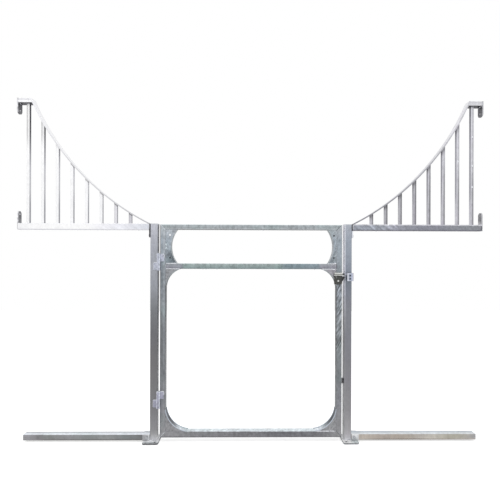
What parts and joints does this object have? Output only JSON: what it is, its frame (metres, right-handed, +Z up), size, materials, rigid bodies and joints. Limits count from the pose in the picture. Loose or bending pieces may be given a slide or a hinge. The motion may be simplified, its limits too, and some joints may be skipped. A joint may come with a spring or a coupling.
{
  "type": "livestock panel gate",
  "caption": "Galvanised stall-front panel with a centre gate on weld-on hinges, a sliding bolt latch and two winged infill fields under curved bars.",
  "frame": {"origin": "on the floor, at the middle of the panel's length and depth", "axes": "+X along the panel towards the latch side, +Y through it away from the side the gate opens to, +Z up"},
  "size_m": [3, 0.14, 2.2],
  "materials": {
    "galvanised_frame": "hot-dip galvanised with spangle, some runs and dull patches",
    "galvanised_gate": "hot-dip galvanised, weathered slightly darker",
    "zinc_plated_steel": "bright zinc plated",
    "black_coated_steel": "black powder coat, satin"
  },
  "bodies": {
    "frame": {"base_plate_left": "galvanised_frame", "base_plate_right": "galvanised_frame", "curved_bar_left": "galvanised_frame", "curved_bar_right": "galvanised_frame", "floor_rail_left": "galvanised_frame", "floor_rail_right": "galvanised_frame", "gate_stop": "galvanised_frame", "hinge_pins": "zinc_plated_steel", "infill_bar_1_left": "galvanised_frame", "infill_bar_1_right": "galvanised_frame", "infill_bar_2_left": "galvanised_frame", "infill_bar_2_right": "galvanised_frame", "infill_bar_3_left": "galvanised_frame", "infill_bar_3_right": "galvanised_frame", "infill_bar_4_left": "galvanised_frame", "infill_bar_4_right": "galvanised_frame", "infill_bar_5_left": "galvanised_frame", "infill_bar_5_right": "galvanised_frame", "infill_bar_6_left": "galvanised_frame", "infill_bar_6_right": "galvanised_frame", "infill_bar_7_left": "galvanised_frame", "infill_bar_7_right": "galvanised_frame", "infill_bar_8_left": "galvanised_frame", "infill_bar_8_right": "galvanised_frame", "keeper_bolts": "zinc_plated_steel", "latch_keeper": "galvanised_frame", "lower_hinge_pintle": "galvanised_frame", "lower_lugs": "galvanised_frame", "post_caps": "galvanised_frame", "post_left": "galvanised_frame", "post_right": "galvanised_frame", "rail_bolts": "zinc_plated_steel", "rail_ears_left": "galvanised_frame", "rail_ears_right": "galvanised_frame", "top_tube_left": "galvanised_frame", "top_tube_right": "galvanised_frame", "upper_hinge_pintle": "galvanised_frame", "upper_lugs": "galvanised_frame", "wing_bolts": "zinc_plated_steel", "wing_end_plates": "galvanised_frame", "wing_rail_left": "galvanised_frame", "wing_rail_right": "galvanised_frame"},
    "gate": {"gate_rail_bottom": "galvanised_gate", "gate_rail_middle": "galvanised_gate", "gate_rail_top": "galvanised_gate", "gate_stile_hinge_side": "galvanised_gate", "gate_stile_latch_side": "galvanised_gate", "latch_guide": "galvanised_gate", "latch_pivot": "zinc_plated_steel", "lower_gusset_left": "galvanised_gate", "lower_gusset_right": "galvanised_gate", "lower_hinge_eye": "galvanised_gate", "middle_gusset_left": "galvanised_gate", "middle_gusset_right": "galvanised_gate", "upper_gusset_left": "galvanised_gate", "upper_gusset_right": "galvanised_gate", "upper_hinge_eye": "galvanised_gate"},
    "sliding_bolt": {"latch_bolt": "zinc_plated_steel"},
    "lever": {"latch_lever": "black_coated_steel"}
  },
  "joints": [
    {"name": "gate_swing", "type": "hinge", "parent": "frame", "child": "gate", "pos_m": [-0.5925, -0.036, 0.7], "axis": [0, 0, -1], "range_deg": [0, 175]},
    {"name": "latch_slide", "type": "slide", "parent": "gate", "child": "sliding_bolt", "axis": [1, 0, 0], "range_m": [0, 0.02]},
    {"name": "lever_turn", "type": "hinge", "parent": "gate", "child": "lever", "pos_m": [0.554, -0.0475, 1.036], "axis": [0, 1, 0], "range_deg": [0, 53.2]}
  ],
  "couplings": [
    {"joint": "lever_turn", "follows": "latch_slide", "rad_per_m": 46.365}
  ]
}
